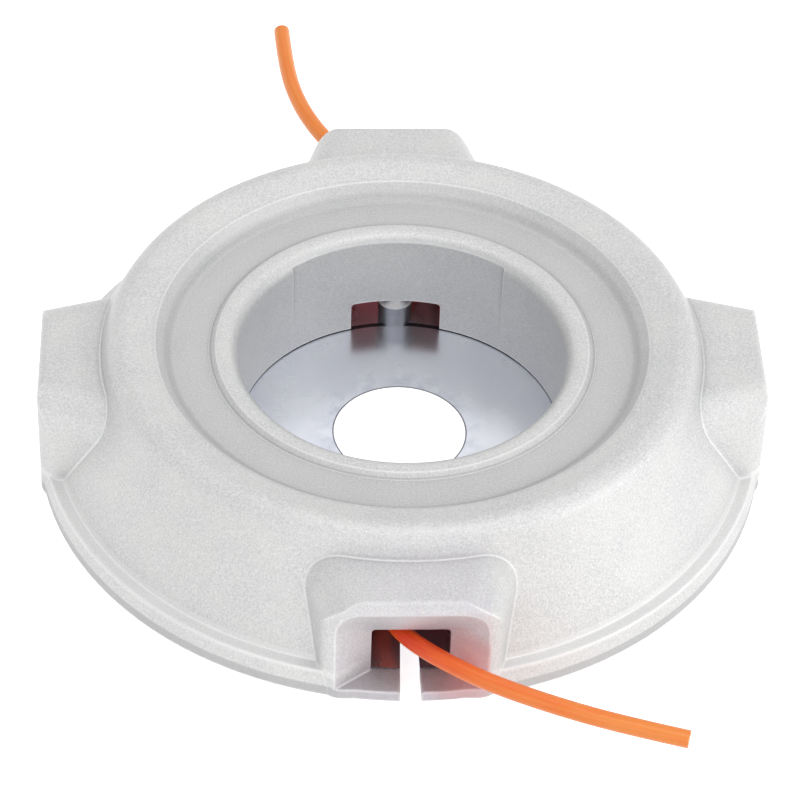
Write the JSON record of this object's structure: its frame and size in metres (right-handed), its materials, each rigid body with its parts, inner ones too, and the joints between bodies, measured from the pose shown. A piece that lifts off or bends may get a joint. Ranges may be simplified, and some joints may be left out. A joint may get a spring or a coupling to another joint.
{
  "type": "fixed line trimmer head",
  "caption": "Cast dome head with a central well and line ports, on a steel plate with a round arbor hole, holding short lengths of nylon trimmer line for a brush cutter.",
  "frame": {"origin": "on the head's axis, in the plane of the rim and of the plate's outer face", "axes": "+Z along the axis from the plate to the dome, -Y and +Y through the two line ports, +X through a blind block"},
  "size_m": [0.1384, 0.2047, 0.0278],
  "materials": {
    "cast_aluminium": "fine as-cast grain, satin",
    "zinc_plate": "bright zinc plating with fine scratches",
    "steel_hardware": "plated",
    "nylon_line": "smooth, slightly translucent"
  },
  "bodies": {
    "root": {"cast_body": "cast_aluminium", "mounting_plate": "zinc_plate", "line_post_front": "steel_hardware", "line_post_back": "steel_hardware", "post_screws": "steel_hardware", "plate_screws": "steel_hardware", "trimmer_line_front": "nylon_line", "trimmer_line_back": "nylon_line"}
  },
  "joints": []
}
